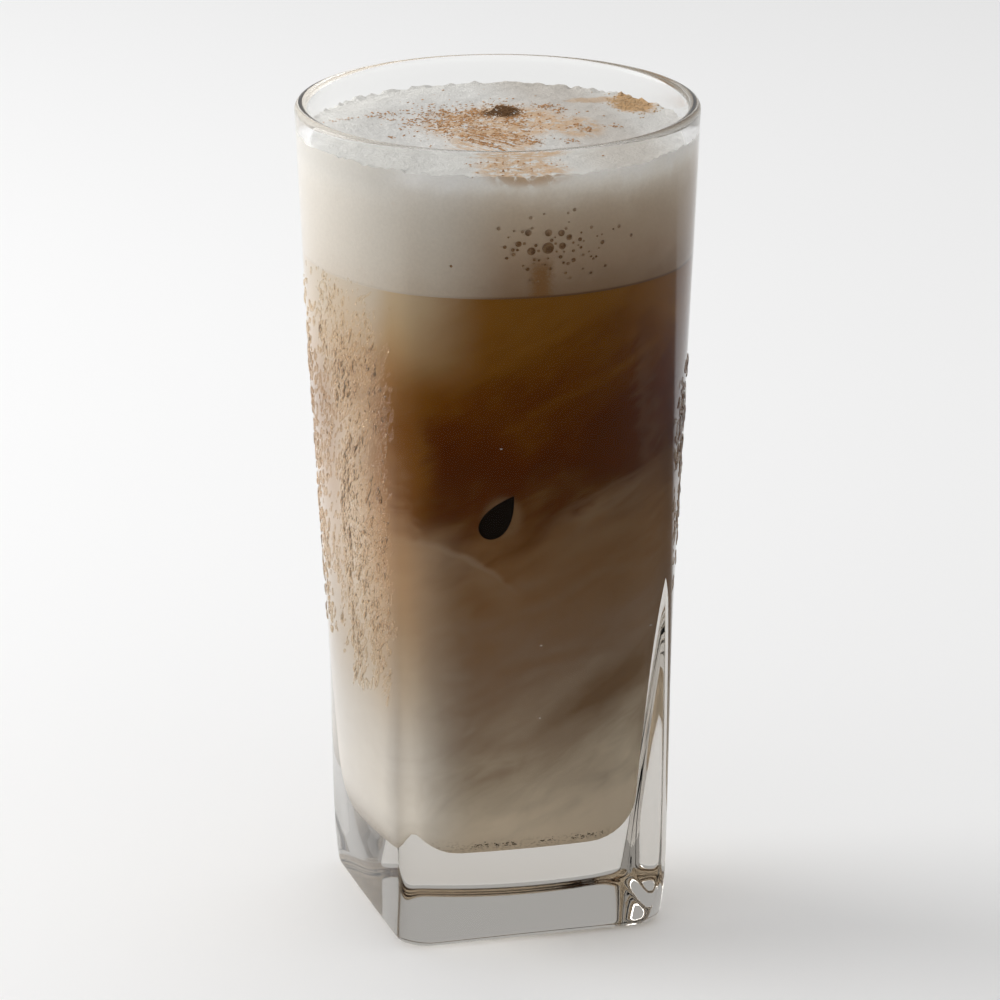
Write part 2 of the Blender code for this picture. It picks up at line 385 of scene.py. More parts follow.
def cream_height(x, y):
    """The top of the cream: level, with one soft spiral ridge and a low mound on the right."""
    radius = hypot(x, y)
    ridge = cos(2 * pi * radius / SWIRL_PITCH - atan2(y, x) + SWIRL_TURN)
    fading = radius / RIM_RADIUS * exp(-((radius / SWIRL_REACH) ** 4))
    from_mound = (Vector((x, y)) - MOUND_PLACE).length / MOUND_WIDTH
    return CREAM_LEVEL + SWIRL_RISE * ridge * fading + MOUND_RISE * exp(-(from_mound**2))


def rough(x, y, length, seed):
    """Smooth noise over the cream, between about -1 and 1."""
    return noise.noise(Vector((x / length, y / length, seed)))


def cream_surface(x, y):
    """The top of the cream with its roughness, and the froth that clings to the wall."""
    height = cream_height(x, y)
    height += ROUGH_RISE * rough(x, y, ROUGH_LENGTH, seed=1.3)
    height += GRAIN_RISE * rough(x, y, GRAIN_LENGTH, seed=4.1)
    wall = inside(atan2(y, x), CREAM_LEVEL)
    near_wall = min(max((hypot(x, y) / wall - FROTH_START) / (1 - FROTH_START), 0), 1)
    return height + FROTH_RISE * near_wall**2 * (FROTH_BASE + rough(x, y, FROTH_LENGTH, seed=8.6))


def front_wall(x, height):
    """The point on the inner face, at the front, with this x and height."""
    y = FRONT_START
    for _ in range(FRONT_ROUNDS):
        radius = inside(atan2(y, x), height)
        y = -sqrt(radius**2 - x**2)
    return Vector((x, y, height))


# Meshes from rings


def in_scene(name, data):
    obj = bpy.data.objects.new(name, data)
    bpy.context.scene.collection.objects.link(obj)
    return obj


def new_object(name, points, faces, look):
    """An object shaded smooth but for its sharp edges."""
    mesh = bpy.data.meshes.new(name)
    mesh.from_pydata(points, [], faces)
    mesh.shade_smooth()
    mesh.set_sharp_from_angle(angle=SHARP_EDGE)
    mesh.materials.append(look)
    return in_scene(name, mesh)


def object_from_balls(name, bm, look):
    """An object from a mesh of balls, shaded smooth all over."""
    mesh = bpy.data.meshes.new(name)
    bm.to_mesh(mesh)
    bm.free()
    mesh.shade_smooth()
    mesh.materials.append(look)
    return in_scene(name, mesh)


def closed_skin(rings, first_centre, last_centre):
    """Points and faces of a closed form: rings joined with quads, and a fan at each end."""
    size = len(rings[0])
    points = [point for ring in rings for point in ring]
    faces = []
    for row in range(len(rings) - 1):
        for k in range(size):
            following = (k + 1) % size
            low = row * size
            high = low + size
            faces.append((low + k, low + following, high + following, high + k))
    first = len(points)
    points += [first_centre, last_centre]
    last_ring = (len(rings) - 1) * size
    for k in range(size):
        following = (k + 1) % size
        faces.append((following, k, first))
        faces.append((last_ring + k, last_ring + following, first + 1))
    return points, faces


def wall_ring(wall, heights, directions, grow=0.0):
    """One ring of points on a wall, each column at its own height."""
    points = []
    for angle, height in zip(directions, heights):
        radius = wall(angle, height) + grow
        points.append((radius * cos(angle), radius * sin(angle), height))
    return points


def level_ring(wall, height, directions, grow=0.0):
    """One level ring of points on a wall."""
    return wall_ring(wall, [height] * len(directions), directions, grow)


def outwards_from(place):
    """The level direction away from the axis."""
    return Vector((place.x, place.y, 0)).normalized()


# Materials


class Look:
    """A material, and short ways to add its nodes. Values are numbers, colours or sockets."""

    def __init__(self, name):
        self.material = bpy.data.materials.new(name)
        self.material.use_nodes = True
        self.tree = self.material.node_tree
        self.shader = self.tree.nodes["Principled BSDF"]
        self.output = self.tree.nodes["Material Output"]
        place = self.add("ShaderNodeTexCoord").outputs["Object"]
        self.place = self.vector("SCALE", place, scale=MM)

    def add(self, kind, values=(), **settings):
        node = self.tree.nodes.new(kind)
        for key, value in settings.items():
            setattr(node, key, value)
        for index, value in dict(values).items():
            self.put(node.inputs[index], value)
        return node

    def put(self, socket, value):
        if isinstance(value, bpy.types.NodeSocket):
            self.tree.links.new(value, socket)
        elif isinstance(value, tuple) and socket.type == "RGBA":
            socket.default_value = (*value, 1)
        else:
            socket.default_value = value

    def set(self, **values):
        for key, value in values.items():
            self.put(self.shader.inputs[key.replace("_", " ")], value)

    def vector(self, operation, first, second=None, scale=None):
        values = {0: first}
        if second is not None:
            values[1] = second
        if scale is not None:
            values["Scale"] = scale
        node = self.add("ShaderNodeVectorMath", values, operation=operation)
        return node.outputs["Value" if operation == "LENGTH" else "Vector"]

    def math(self, operation, *values):
        node = self.add("ShaderNodeMath", enumerate(values), operation=operation)
        return node.outputs[0]

    def minus(self, first, second):
        return self.math("SUBTRACT", first, second)

    def times(self, first, *others):
        for other in others:
            first = self.math("MULTIPLY", first, other)
        return first

    def larger(self, first, second):
        return self.math("MAXIMUM", first, second)

    def size_of(self, value):
        return self.math("ABSOLUTE", value)

    def line(self, value, slope, start):
        """A straight line: the value times a slope, plus a start."""
        return self.math("MULTIPLY_ADD", value, slope, start)

    def stirred(self, value, pattern, reach_out):
        """A value pushed up and down by a pattern, whose middle is 0.5."""
        return self.line(self.minus(pattern, 0.5), reach_out, value)

    def parts(self, vector):
        return self.add("ShaderNodeSeparateXYZ", {0: vector}).outputs

    def noise(self, vector, scale, detail=3.0, roughness=0.5, distortion=0.0):
        values = {"Vector": vector, "Scale": scale, "Detail": detail}
        values.update({"Roughness": roughness, "Distortion": distortion})
        return self.add("ShaderNodeTexNoise", values).outputs["Fac"]

    def stretched(self, turns, lengths, shift=(0.0, 0.0, 0.0)):
        """Coordinates along axes turned by these angles, divided by a length along each axis."""
        values = {"Vector": self.place, "Location": shift, "Rotation": turns, "Scale": lengths}
        return self.add("ShaderNodeMapping", values, vector_type="TEXTURE").outputs[0]

    def spread(self, value, low, high, to_low=0.0, to_high=1.0, smooth=True):
        """Maps low to high onto a range, held at its ends."""
        values = {0: value, 1: low, 2: high, 3: to_low, 4: to_high}
        kind = "SMOOTHSTEP" if smooth else "LINEAR"
        return self.add("ShaderNodeMapRange", values, interpolation_type=kind).outputs[0]

    def mix(self, factor, first, second, blend="MIX"):
        values = {"Factor": factor, 6: first, 7: second}
        node = self.add("ShaderNodeMix", values, data_type="RGBA", blend_type=blend)
        return node.outputs[2]

    def between(self, factor, first, second):
        """A number between two numbers."""
        return self.add("ShaderNodeMix", {0: factor, 2: first, 3: second}).outputs[0]

    def tint(self, colour, tone, *shares):
        """A colour with a tone mixed into it, by the product of the shares."""
        return self.mix(self.times(*shares), colour, tone)

    def ramp(self, value, stops):
        """Colour by a value, through (value, colour) stops."""
        low, high = stops[0][0], stops[-1][0]
        share = self.spread(value, low, high, smooth=False)
        node = self.add("ShaderNodeValToRGB", {0: share})
        band = node.color_ramp
        band.interpolation = "B_SPLINE"
        while len(band.elements) < len(stops):
            band.elements.new(0.5)
        for element, (at, colour) in zip(band.elements, stops):
            element.position = (at - low) / (high - low)
            element.color = (*colour, 1)
        return node.outputs[0]

    def near(self, centre, size):
        """1 at a place and 0 from its size on. The size may differ along each axis."""
        offset = self.vector("SUBTRACT", self.place, centre)
        length = self.vector("LENGTH", self.vector("DIVIDE", offset, size))
        return self.spread(length, 0.0, 1.0, 1.0, 0.0)

    def bump(self, height, distance, strength):
        values = {"Height": height, "Distance": distance, "Strength": strength}
        self.set(Normal=self.add("ShaderNodeBump", values).outputs[0])


# Glass and dew: how they bend light, their tints, and the glare they keep, seen straight on
GLASS_INDEX = 1.52
GLASS_TINT = (0.97, 0.972, 0.965)
GLASS_GLARE = (0.08, 0.08, 0.08)
DEW_INDEX = 1.33
DEW_TINT = (0.96, 0.885, 0.785)
DEW_GLARE = (0.62, 0.54, 0.45)
DEW_CLARITY = 0.97
# How quickly thick glass greys, per metre
GLASS_DEPTH = 14
GLASS_DEPTH_TINT = (0.46, 0.41, 0.34)


def clear_look(name, index, tint, glare, clarity=1, depth_tint=None):
    """Clear and smooth, and lets the lamps through to what it holds."""
    look = Look(name)
    look.set(Base_Color=tint, Roughness=0, IOR=index, Transmission_Weight=clarity)
    look.set(Specular_Tint=glare)
    if depth_tint:
        values = {"Color": depth_tint, "Density": GLASS_DEPTH}
        body = look.add("ShaderNodeVolumeAbsorption", values)
        look.put(look.output.inputs["Volume"], body.outputs[0])
    clear = look.add("ShaderNodeBsdfTransparent", {0: tint})
    shadow = look.add("ShaderNodeLightPath").outputs["Is Shadow Ray"]
    shaders = {0: shadow, 1: look.shader.outputs[0], 2: clear.outputs[0]}
    mixed = look.add("ShaderNodeMixShader", shaders)
    look.put(look.output.inputs["Surface"], mixed.outputs[0])
    return look.material


# In the values of the materials a patch is its middle and its size in mm, and a pattern its turns,
# its lengths in mm and how far it is shifted. A range is where a change starts and where it ends,
# in mm or in shares of a pattern, and then its strengths there, unless they are 0 and 1.

# Colours of the drink from the glass's floor up, by height above the milk's slanting top
DRINK_TONES = [
    (-62, (0.80, 0.67, 0.51)),
    (-52, (0.60, 0.51, 0.385)),
    (-43, (0.42, 0.325, 0.23)),
    (-30, (0.295, 0.20, 0.133)),
    (-18, (0.285, 0.17, 0.09)),
    (-6, (0.265, 0.138, 0.052)),
    (2, (0.135, 0.048, 0.007)),
    (10, (0.090, 0.016, 0.002)),
    (20, (0.128, 0.030, 0.002)),
    (31, (0.22, 0.078, 0.004)),
    (42, (0.28, 0.120, 0.015)),
]
FOLDS = ((0, radians(-24), 0), (24, 20, 9))
FOLD_REACH = 26
WISPS = ((0, radians(-33), 0), (9, 8, 3.4), (3, 1, 7))
WISP_REACH = 15

# Painted light on the drink's left side: paler colours at the left wall, as if lit from the left,
# by height.
# They reach far round the corner, but keep close to the outline in a darker belt halfway up
LIT_LEFT_TONES = [
    (20, (0.74, 0.70, 0.64)),
    (34, (0.68, 0.64, 0.58)),
    (45, (0.53, 0.47, 0.39)),
    (58, (0.46, 0.365, 0.265)),
    (72, (0.53, 0.385, 0.255)),
    (84, (0.42, 0.275, 0.165)),
    (95, (0.26, 0.130, 0.042)),
    (104, (0.27, 0.140, 0.048)),
    (112, (0.48, 0.325, 0.165)),
    (122, (0.60, 0.475, 0.32)),
]
LEFT_WANDER = 3.5
BELT_HEIGHT = 93
BELT = (10, 19, 1, 0)
WIDE_LEFT = (-9.5, -23.5, 0, 0.95)
NARROW_LEFT = (-19.4, -24.6, 0, 0.95)

# A still paler strip of painted light beside the outline, which leans with the wall low down, and
# fades towards the back except high up
LIT_STRIP_TONES = [
    (52, (0.76, 0.73, 0.69)),
    (64, (0.62, 0.58, 0.53)),
    (73, (0.78, 0.75, 0.72)),
    (86, (0.76, 0.70, 0.63)),
    (97, (0.66, 0.57, 0.48)),
    (110, (0.58, 0.49, 0.39)),
    (122, (0.62, 0.57, 0.50)),
]
STRIP = (-24.3, -27.4, 0, 0.75)
STRIP_START = (50, 66)
STRIP_LEAN = 0.10
STRIP_KINK = 90
STRIP_BACK = (-8, 0)
STRIP_BACK_HEIGHTS = (112, 98, 0, 0.55)

# Rusty coffee in the front left corner, and sediment along the floor's edge
RUST_TONE = (0.25, 0.105, 0.016)
RUST_PATCH = ((-20.8, -23, 92), (4.6, 7, 21))
RUST_MOTTLE = (0.25, 0.60, 0.35, 1)
RUST_STRENGTH = 0.8
SEDIMENT_TONE = (0.24, 0.15, 0.07)
SEDIMENT_WAVE = 2
SEDIMENT_HEIGHTS = (18, 20.5, 1, 0)
SEDIMENT_SPECKS = (0.50, 0.62)
SEDIMENT_STRENGTH = 0.35

# How far round the swirls near the front wall show
FRONT = (-10, -16)
# A pale thread falls towards the right from the left corner, ever more steeply, with haze below
THREAD_TONE = (0.46, 0.34, 0.23)
THREAD_START = -22
THREAD_HEIGHT = 76.4
THREAD_FALL = -0.029
THREAD_WAVE = 2.4
THREAD_WIDTH = (0, 1.5, 0.5, 0)
THREAD_UNDERSIDE = (0.4, -0.4)
THREAD_HAZE = (-0.5, -7, 0.30, 0)
THREAD_END = (-12, -1, 1, 0)
# On the right another one rises, with cloudy milk under it
VEIL_TONE = (0.34, 0.225, 0.13)
VEIL_SLOPE = 0.376
VEIL_HEIGHT = 80.9
VEIL_WAVE = 7
VEIL_TOP = (1.6, -2.6)
VEIL_FADING = (-1, -13, 0.62, 0)
VEIL_MOTTLE = (0.30, 0.55, 0.55, 1)
VEIL_START = (-3, 9)
VEIL_END = (16, 24, 1, 0.30)
RISING_WAVE = 2
RISING_WIDTH = (0, 1.1, 0.32, 0)
# and a faint wisp hangs down to it
HANGING_LEAN = 0.117
HANGING_WAVE = 9
HANGING_PLACE = 35.2
HANGING_WIDTH = (0, 2.8, 0.15, 0)
HANGING_TOP = (119, 106)
HANGING_FOOT = (86, 91)
# Coffee sinks back into the milk in a slanting band on the right
SUNK_TONE = (0.165, 0.078, 0.022)
SUNK_BAND = ((0, radians(-32), 0), (14, 30, 4.4), (13.2, -18, 46.6))
SUNK_WAVE = 1.4
SUNK_EDGE = (1.35, 0.25)
SUNK_STRENGTH = 0.72
# Paler ring round the dark hole
RING_TONE = (0.25, 0.145, 0.068)
RING_PATCH = ((-6.8, -25.6, 81.6), (5, 8, 6))
RING_EDGE = (0.02, 0.50, 0, 0.8)


def falling_thread(look, fine, x, z):
    fallen = look.math("POWER", look.larger(look.minus(x, THREAD_START), 0), 2)
    middle = look.line(fallen, THREAD_FALL, THREAD_HEIGHT)
    off = look.minus(look.line(fine, THREAD_WAVE, z), middle)
    off = look.minus(off, THREAD_WAVE / 2)
    thread = look.spread(look.size_of(off), *THREAD_WIDTH)
    haze = look.times(look.spread(off, *THREAD_UNDERSIDE), look.spread(off, *THREAD_HAZE))
    return look.times(look.larger(thread, haze), look.spread(x, *THREAD_END))


def rising_veil(look, fine, x, z):
    above = look.minus(z, look.line(x, VEIL_SLOPE, VEIL_HEIGHT))
    off = look.stirred(above, fine, VEIL_WAVE)
    veil = look.times(
        look.spread(off, *VEIL_TOP),
        look.spread(off, *VEIL_FADING),
        look.spread(fine, *VEIL_MOTTLE),
    )
    off = look.stirred(above, fine, RISING_WAVE)
    thread = look.spread(look.size_of(off), *RISING_WIDTH)
    return look.times(
        look.larger(veil, thread),
        look.spread(x, *VEIL_START),
        look.spread(x, *VEIL_END),
    )


def hanging_wisp(look, fine, x, z):
    leaning = look.line(z, HANGING_LEAN, x)
    off = look.minus(look.line(fine, HANGING_WAVE, leaning), HANGING_PLACE)
    return look.times(
        look.spread(look.size_of(off), *HANGING_WIDTH),
        look.spread(z, *HANGING_TOP),
        look.spread(z, *HANGING_FOOT),
    )


def milk_swirls(look, colour, fine, x, y, z):
    """Threads and veils of milk near the front wall, and the paler ring round the dark hole."""
    front = look.spread(y, *FRONT)
    colour = look.tint(colour, THREAD_TONE, falling_thread(look, fine, x, z), front)
    veil = look.larger(rising_veil(look, fine, x, z), hanging_wisp(look, fine, x, z))
    colour = look.tint(colour, VEIL_TONE, veil, front)
    from_band = look.vector("LENGTH", look.stretched(*SUNK_BAND))
    sunk = look.spread(look.stirred(from_band, fine, SUNK_WAVE), *SUNK_EDGE)
    colour = look.tint(colour, SUNK_TONE, sunk, SUNK_STRENGTH)
    return look.tint(colour, RING_TONE, look.spread(look.near(*RING_PATCH), *RING_EDGE))


def painted_light_left(look, colour, fine, x, y, z):
    """Painted light on the drink's left side, kept close to the outline in a belt halfway up, and a
    still paler painted strip beside the outline.
    """
    wander = look.stirred(x, fine, LEFT_WANDER)
    belt = look.spread(look.size_of(look.minus(z, BELT_HEIGHT)), *BELT)
    wide = look.spread(wander, *WIDE_LEFT)
    narrow = look.spread(wander, *NARROW_LEFT)
    colour = look.tint(colour, look.ramp(z, LIT_LEFT_TONES), look.between(belt, wide, narrow))
    # The palest painted light, in a strip beside the left outline
    lower = look.math("MINIMUM", look.minus(z, STRIP_KINK), 0)
    outwards = look.line(lower, STRIP_LEAN, x)
    behind = look.times(look.spread(y, *STRIP_BACK), look.spread(z, *STRIP_BACK_HEIGHTS))
    strip = look.times(look.spread(outwards, *STRIP), look.spread(z, *STRIP_START))
    return look.tint(colour, look.ramp(z, LIT_STRIP_TONES), strip, look.minus(1, behind))


def drink_look(name):
    """Milk that swirls up into coffee. One look for both layers, so that they meet unseen."""
    look = Look(name)
    x, y, z = look.parts(look.place)[:3]
    folded = look.noise(look.stretched(*FOLDS), scale=1, distortion=0.8)
    fine = look.noise(look.stretched(*WISPS), scale=1, detail=5, roughness=0.6, distortion=0.7)
    above = look.minus(look.minus(z, look.times(x, MILK_TILT)), MILK_LEVEL * MM)
    swirled = look.stirred(look.stirred(above, folded, FOLD_REACH), fine, WISP_REACH)
    # Painted light: the drink is paler towards its left, as if lit from that side
    colour = painted_light_left(look, look.ramp(swirled, DRINK_TONES), fine, x, y, z)
    mottle = look.spread(fine, *RUST_MOTTLE)
    colour = look.tint(colour, RUST_TONE, look.near(*RUST_PATCH), mottle, RUST_STRENGTH)
    colour = milk_swirls(look, colour, fine, x, y, z)
    specks = look.noise(look.place, scale=1.6, detail=2, roughness=0.6)
    specks = look.spread(specks, *SEDIMENT_SPECKS)
    low = look.spread(look.line(folded, SEDIMENT_WAVE, z), *SEDIMENT_HEIGHTS)
    colour = look.tint(colour, SEDIMENT_TONE, specks, low, SEDIMENT_STRENGTH)
    look.set(Base_Color=colour, Roughness=0.35, Specular_IOR_Level=0)
    return look.material


# Colours of the side of the cream from its foot up, by height: browner low down where coffee soaks
# it, and paler upwards, partly with painted light from above. Then its left side, paler with
# painted light from the left
CREAM_TONES = [
    (122.9, (0.28, 0.165, 0.085)),
    (125.5, (0.36, 0.24, 0.145)),
    (129, (0.45, 0.315, 0.205)),
    (133, (0.52, 0.39, 0.27)),
    (138, (0.61, 0.49, 0.36)),
    (141, (0.76, 0.67, 0.56)),
    (143, (0.93, 0.88, 0.80)),
    (145.3, (0.95, 0.93, 0.90)),
]
LIT_CREAM_LEFT_TONES = [
    (122.9, (0.58, 0.49, 0.39)),
    (128, (0.66, 0.59, 0.50)),
    (137, (0.69, 0.635, 0.56)),
    (141, (0.76, 0.71, 0.64)),
    (143, (0.93, 0.91, 0.88)),
    (145.3, (0.95, 0.94, 0.92)),
]
CREAM_WAVE = 4
CREAM_LEFT = (-5, -20)
# A still paler strip of painted light at the far left of the side, strongest high up
LIT_CREAM_STRIP_TONE = (0.66, 0.63, 0.58)
CREAM_STRIP = (-21, -28)
CREAM_STRIP_HEIGHTS = (138, 143, 0.5, 1)
# Its top, with painted shade on the right. What faces up is top, by the upward share of its normal
CREAM_TOP_TONES = ((0.60, 0.585, 0.55), (0.70, 0.69, 0.665))
CREAM_SHADE_TONE = (0.53, 0.49, 0.44)
CREAM_RIGHT_START = (2, 15, 0, 0.9)
CREAM_RIGHT_END = (20, 27, 1, 0.2)
FACING_UP = (0.5, 0.8)
# Froth mottles it: its darkest shade on the side and on the top, and its lightest
FROTH_MOTTLE = (0.30, 0.70)
FROTH_SHADE = (0.975, 0.94, 1.03)
# Coffee has run down in a streak below the bubbles, and darkens the foot
SOAKED_TONE = (0.27, 0.125, 0.030)
RUN_PLACE = -1.6
RUN_WAVE = 2.4
RUN_WIDTH = (0.5, 2.8, 1, 0)
RUN_HEIGHTS = (131.5, 127.5)
RUN_FRONT = (-20, -28)
RUN_STRENGTH = 0.9
FOOT_TONE = (0.14, 0.060, 0.014)
FOOT_HEIGHTS = (123.5, 123.05)
FOOT_LENGTH = (-18, -4, 0.1, 0.9)
# Crema at the right wall, torn at its edges, and the tail that trails off from it
CREMA_TONE = (0.50, 0.30, 0.135)
CREMA_PATCH = ((*(CREMA_PLACE * MM), 145.2), (*(CREMA_SIZE * 1.5 * MM), 6))
CREMA_MOTTLE = (0.30, 0.60, 0.6, 1)
CREMA_TEAR = -0.9
CREMA_EDGE = (-0.35, 0.10)
TAIL_PATCH = ((22.8, 16, 145.2), (11, 4, 6))
TAIL_TEAR = -1.1
TAIL_EDGE = (-0.25, 0.20, 0, 0.6)
# Cocoa stains: the pattern, the patch, the range over which it fades in, and its strength
COCOA_STAIN = (0.55, 0.355, 0.195)
STAINS = [
    ("patchy", ((0.5, 4, 145), (18, 17, 40)), (0.02, 0.45), 0.90),
    ("smeared", ((-3.5, -9.5, 145), (11, 13, 40)), (0, 0.5), 0.80),
    ("patchy", ((13.6, -3.8, 145), (6.5, 9, 40)), (0, 0.5), 0.75),
    ("patchy", ((-3.6, -27.5, 145.4), (11.5, 13, 3.6)), (0, 0.5), 0.85),
]
STAIN_PATCHES = (0.38, 0.54)
SMEARS = ((0, 0, radians(-61)), (6, 0.75, 6))
STAIN_SMEARS = (0.42, 0.54)


def stain(look, colour):
    """Cocoa has wetted the cream round its grains, in patches and in long smears."""
    patchy = look.noise(look.place, scale=0.42, detail=5, roughness=0.65, distortion=0.7)
    smeared = look.noise(look.stretched(*SMEARS), scale=1, detail=4, roughness=0.6, distortion=1.6)
    patterns = {
        "patchy": look.spread(patchy, *STAIN_PATCHES),
        "smeared": look.spread(smeared, *STAIN_SMEARS),
    }
    for pattern, patch, fading, strength in STAINS:
        spot = look.spread(look.near(*patch), *fading)
        colour = look.tint(colour, COCOA_STAIN, spot, patterns[pattern], strength)
    return colour


def crema(look, colour, froth):
    """Crema floats at the right wall, and trails off from it."""
    torn = look.noise(look.place, scale=0.5, detail=5, roughness=0.65, distortion=0.8)
    patch = look.times(look.near(*CREMA_PATCH), look.spread(froth, *CREMA_MOTTLE))
    patch = look.spread(look.line(torn, CREMA_TEAR, patch), *CREMA_EDGE)
    colour = look.tint(colour, CREMA_TONE, patch)
    tail = look.line(torn, TAIL_TEAR, look.near(*TAIL_PATCH))
    return look.tint(colour, CREMA_TONE, look.spread(tail, *TAIL_EDGE))


def cream_look():
    """Whipped cream: fine froth, browner where coffee has soaked its foot, stained by cocoa, with
    painted light on its side and left, and painted shade on the right of its top.
    """
    look = Look("salted-cream")
    x, y, z = look.parts(look.place)[:3]
    cloudy = look.noise(look.place, scale=0.16, roughness=0.55, distortion=0.4)
    froth = look.noise(look.place, scale=1.9, detail=4, roughness=0.62)
    lifted = look.stirred(z, cloudy, CREAM_WAVE)
    # Partly painted light: the side pales upwards, more on the left, and most in a strip at the far
    # left
    side = look.ramp(lifted, CREAM_TONES)
    side = look.tint(side, look.ramp(lifted, LIT_CREAM_LEFT_TONES), look.spread(x, *CREAM_LEFT))
    strip = look.times(look.spread(x, *CREAM_STRIP), look.spread(z, *CREAM_STRIP_HEIGHTS))
    side = look.tint(side, LIT_CREAM_STRIP_TONE, strip)
    top = look.mix(cloudy, *CREAM_TOP_TONES)
    # Painted shade over the right of the top, fading out near the rim
    right = look.times(look.spread(x, *CREAM_RIGHT_START), look.spread(x, *CREAM_RIGHT_END))
    top = look.tint(top, CREAM_SHADE_TONE, right)
    normal = look.add("ShaderNodeNewGeometry").outputs["Normal"]
    up = look.spread(look.parts(normal)[2], *FACING_UP)
    colour = look.mix(up, side, top)
    from_run = look.size_of(look.minus(look.stirred(x, froth, RUN_WAVE), RUN_PLACE))
    run = look.times(look.spread(from_run, *RUN_WIDTH), look.spread(z, *RUN_HEIGHTS))
    colour = look.tint(colour, SOAKED_TONE, run, look.spread(y, *RUN_FRONT), RUN_STRENGTH)
    foot = look.times(look.spread(z, *FOOT_HEIGHTS), look.spread(x, *FOOT_LENGTH))
    colour = look.tint(colour, FOOT_TONE, foot)
    colour = crema(look, stain(look, colour), froth)
    side_shade, top_shade, most = FROTH_SHADE
    least = look.spread(up, 0, 1, side_shade, top_shade)
    shade = look.spread(froth, *FROTH_MOTTLE, least, most)
    shade = look.add("ShaderNodeCombineXYZ", {0: shade, 1: shade, 2: shade}).outputs[0]
    colour = look.mix(1, colour, shade, "MULTIPLY")
    look.bump(look.times(froth, up), distance=0.00035, strength=0.8)
    look.set(Base_Color=colour, Roughness=0.55, Specular_IOR_Level=0.3)
    return look.material


# The wet inside of a bubble, brown with coffee, paler higher up
BUBBLE_TONES = ((0.20, 0.098, 0.033), (0.35, 0.21, 0.105))
BUBBLE_MOTTLE = (0.4, 0.6)
BUBBLE_HIGH_TONE = (0.50, 0.38, 0.27)
BUBBLE_HIGH = (133.5, 136.5, 0, 0.6)
# Dry cocoa: grains from orange-brown to dark, darkest in the clump
COCOA_TONES = ((0.58, 0.34, 0.17), (0.34, 0.165, 0.065))
COCOA_MOTTLE = (0.35, 0.65)
CLUMP_TONE = (0.080, 0.038, 0.013)
CLUMP_PATCH = ((4.2, 11.7, 145.4), (5.4, 5.4, 4))
CLUMP_EDGE = (0, 0.6, 0, 0.9)
# Plain mottled materials: two near tones, the fineness of the mottle and the roughness
PLAIN_LOOKS = {
    "crema": ((0.40, 0.25, 0.12), (0.55, 0.42, 0.28), 1.2, 0.3),
    "black-coffee": ((0.004, 0.002, 0.001), (0.008, 0.004, 0.002), 1, 0.3),
    "pale-speck": ((0.90, 0.88, 0.84), (0.95, 0.94, 0.92), 1, 0.3),
    "sediment": ((0.045, 0.022, 0.008), (0.11, 0.06, 0.022), 2, 0.6),
}
FLOOR_TONES = ((0.88, 0.88, 0.88), (0.90, 0.90, 0.90))


def bubble_look():
    look = Look("bubble-inside")
    tone = look.noise(look.place, scale=0.9, detail=2)
    colour = look.mix(look.spread(tone, *BUBBLE_MOTTLE), *BUBBLE_TONES)
    height = look.parts(look.place)[2]
    colour = look.tint(colour, BUBBLE_HIGH_TONE, look.spread(height, *BUBBLE_HIGH))
    look.set(Base_Color=colour, Roughness=0.4, Specular_IOR_Level=0.2)
    return look.material


def cocoa_look():
    look = Look("cocoa")
    grain = look.noise(look.place, scale=3.1, detail=2, roughness=0.6)
    colour = look.mix(look.spread(grain, *COCOA_MOTTLE), *COCOA_TONES)
    clump = look.spread(look.near(*CLUMP_PATCH), *CLUMP_EDGE)
    colour = look.tint(colour, CLUMP_TONE, clump)
    look.set(Base_Color=colour, Roughness=0.9, Specular_IOR_Level=0.2)
    return look.material


def plain_look(name):
    look = Look(name)
    low, high, scale, roughness = PLAIN_LOOKS[name]
    colour = look.mix(look.noise(look.place, scale, detail=2), low, high)
    look.set(Base_Color=colour, Roughness=roughness, Specular_IOR_Level=0)
    return look.material


def floor_look():
    look = Look("pale-floor")
    colour = look.mix(look.noise(look.place, scale=0.004, detail=2), *FLOOR_TONES)
    look.set(Base_Color=colour, Roughness=0.9, Specular_IOR_Level=0.1)
    return look.material


# The glass and what fills it


def drawn_in(ring):
    """A slightly smaller ring in the same plane, which keeps the flat end of a form flat."""
    return [(x * FLAT_SHARE, y * FLAT_SHARE, z) for x, y, z in ring]


def make_glass(look):
    directions = angles()
    bead = RIM_WALL / 2
    shoulder = HEIGHT - bead
    outer = rounded_heights(0, FOOT_EDGE, ROUND_RINGS)
    outer += spread_evenly(FOOT_EDGE, shoulder, GLASS_WALL_RINGS)[1:-1]
    inner = spread_evenly(shoulder, FLOOR + FLOOR_EDGE, GLASS_WALL_RINGS)[1:-1]
    inner += reversed(rounded_heights(FLOOR, FLOOR_EDGE, ROUND_RINGS))
    rings = [level_ring(outside, height, directions) for height in outer]
    for turn in spread_evenly(0, pi, 2 * ROUND_RINGS):
        radius = RIM_RADIUS - bead + bead * cos(turn)
        height = shoulder + bead * sin(turn)
        rings.append([(radius * cos(angle), radius * sin(angle), height) for angle in directions])
    rings += [level_ring(inside, height, directions) for height in inner]
    rings.insert(0, drawn_in(rings[0]))
    rings.append(drawn_in(rings[-1]))
    return new_object("clear-glass", *closed_skin(rings, (0, 0, 0), (0, 0, FLOOR)), look)


def column_heights(surface, nominal, directions):
    """Height of each column where a surface meets the inner wall."""
    found = []
    for angle in directions:
        radius = inside(angle, nominal) + BITE
        found.append(surface(radius * cos(angle), radius * sin(angle)))
    return found


def wall_rings(lows, highs, count, directions):
    """Rings up the inner wall, from one row of heights to another."""
    rings = []
    for share in spread_evenly(0, 1, count):
        heights = [low + (high - low) * share for low, high in zip(lows, highs)]
        rings.append(wall_ring(inside, heights, directions, BITE))
    return rings


def cap_rings(edge, surface, count):
    """Rings from a wall's edge in towards the axis, on a surface."""
    made = []
    for share in spread_evenly(1, 0, count)[1:-1]:
        made.append([(x * share, y * share, surface(x * share, y * share)) for x, y, _ in edge])
    return made


